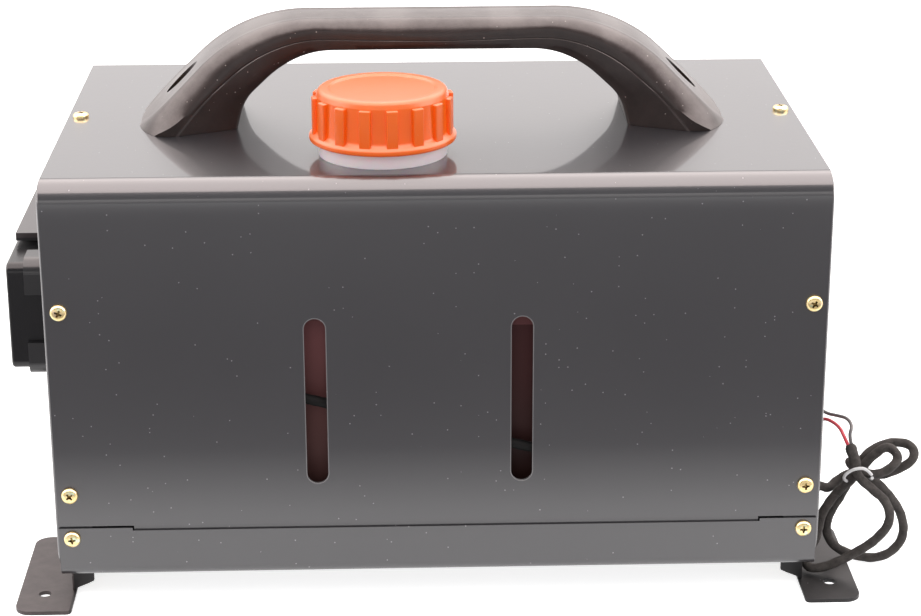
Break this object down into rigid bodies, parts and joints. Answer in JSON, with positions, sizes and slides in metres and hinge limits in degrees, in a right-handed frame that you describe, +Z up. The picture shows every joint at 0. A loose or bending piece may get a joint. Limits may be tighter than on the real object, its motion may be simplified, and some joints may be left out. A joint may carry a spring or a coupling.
{
  "type": "portable diesel air heater",
  "caption": "Dark sheet-steel case with a carrying handle, holding a small fuel-burning air heater, its tank with an orange screw cap, its pump and a hand controller.",
  "frame": {"origin": "on the floor, under the middle of the case", "axes": "+X to the right seen from the front, +Y to the back, +Z up"},
  "size_m": [0.4607, 0.256, 0.276],
  "materials": {
    "case_paint": "glossy dark grey powder coat with fine orange peel",
    "foot_paint": "satin dark grey paint",
    "zinc": "yellow zinc plating",
    "handle_plastic": "moulded, lightly textured",
    "tank_plastic": "dark red-brown, glossy",
    "neck_plastic": "natural white, slightly translucent",
    "cap_plastic": "moulded orange, satin",
    "seal_rubber": "black rubber",
    "black_plastic": "moulded black",
    "filter_plastic": "clear to white",
    "cast_alloy": "as cast",
    "steel": "plain steel",
    "lens": "dark window",
    "board": "circuit board",
    "button_rubber": "soft grey keys",
    "cord_wrap": "black cloth harness tape",
    "tie_white": "white twist tie",
    "wire_red": "red wire insulation",
    "wire_grey": "dark grey wire insulation"
  },
  "bodies": {
    "case": {"cover": "case_paint", "base_tray": "case_paint", "left_end_panel": "case_paint", "right_end_panel": "case_paint", "case_screws": "zinc", "left_foot": "foot_paint", "right_foot": "foot_paint", "foot_screws": "zinc", "handle": "handle_plastic", "handle_bolts": "zinc", "fuel_tank": "tank_plastic", "filler_neck": "neck_plastic", "tank_straps": "case_paint", "divider_plate": "case_paint", "tank_outlet": "black_plastic", "fuel_filter": "filter_plastic", "fuel_pump": "steel", "pump_spring": "steel", "pump_clamp": "zinc", "tank_hose": "seal_rubber", "pump_hose": "seal_rubber", "heater_hose": "seal_rubber", "heater_lower_shell": "black_plastic", "heater_upper_shell": "black_plastic", "heat_exchanger": "cast_alloy", "burner_tube": "steel", "glow_plug": "steel", "blower_housing": "cast_alloy", "blower_motor": "steel", "control_unit": "black_plastic", "inlet_guard": "black_plastic", "outlet_nozzle": "black_plastic", "base_gasket": "seal_rubber", "exhaust_stub": "steel", "air_intake_stub": "steel", "heater_bolts": "zinc", "controller_holder": "black_plastic", "controller_back": "black_plastic", "controller_front": "black_plastic", "display_lens": "lens", "controller_board": "board", "front_harness": "cord_wrap", "power_lead": "cord_wrap", "lead_grommet": "seal_rubber", "lead_tie": "tie_white", "positive_wire": "wire_red", "negative_wire": "wire_grey", "ring_terminals": "zinc"},
    "cap_lift": {"cap_liner": "seal_rubber"},
    "cap": {"filler_cap": "cap_plastic"},
    "rotor": {"motor_shaft": "steel", "hot_air_fan": "black_plastic", "combustion_fan": "black_plastic"},
    "plunger": {"pump_plunger": "steel"},
    "power_key": {"power_button": "button_rubber"},
    "set_key": {"set_button": "button_rubber"},
    "up_key": {"up_button": "button_rubber"},
    "down_key": {"down_button": "button_rubber"}
  },
  "joints": [
    {"name": "cap_turn", "type": "hinge", "parent": "cap_lift", "child": "cap", "pos_m": [-0.0255, -0.072, 0.242], "axis": [0, 0, 1], "range_deg": [0, 720]},
    {"name": "cap_rise", "type": "slide", "parent": "case", "child": "cap_lift", "axis": [0, 0, 1], "range_m": [0, 0.008]},
    {"name": "blower_spin", "type": "hinge", "parent": "case", "child": "rotor", "pos_m": [-0.09, 0.042, 0.0812], "axis": [1, 0, 0], "continuous": true},
    {"name": "pump_stroke", "type": "slide", "parent": "case", "child": "plunger", "axis": [0, 0, 1], "range_m": [0, 0.0025], "stiffness_N_per_m": 600, "deforming": ["pump_spring"]},
    {"name": "power_press", "type": "slide", "parent": "case", "child": "power_key", "axis": [1, 0, 0], "range_m": [0, 0.0008], "stiffness_N_per_m": 500},
    {"name": "set_press", "type": "slide", "parent": "case", "child": "set_key", "axis": [1, 0, 0], "range_m": [0, 0.0008], "stiffness_N_per_m": 500},
    {"name": "up_press", "type": "slide", "parent": "case", "child": "up_key", "axis": [1, 0, 0], "range_m": [0, 0.0008], "stiffness_N_per_m": 500},
    {"name": "down_press", "type": "slide", "parent": "case", "child": "down_key", "axis": [1, 0, 0], "range_m": [0, 0.0008], "stiffness_N_per_m": 500}
  ],
  "couplings": [
    {"joint": "cap_turn", "follows": "cap_rise", "rad_per_m": 1570.8}
  ]
}
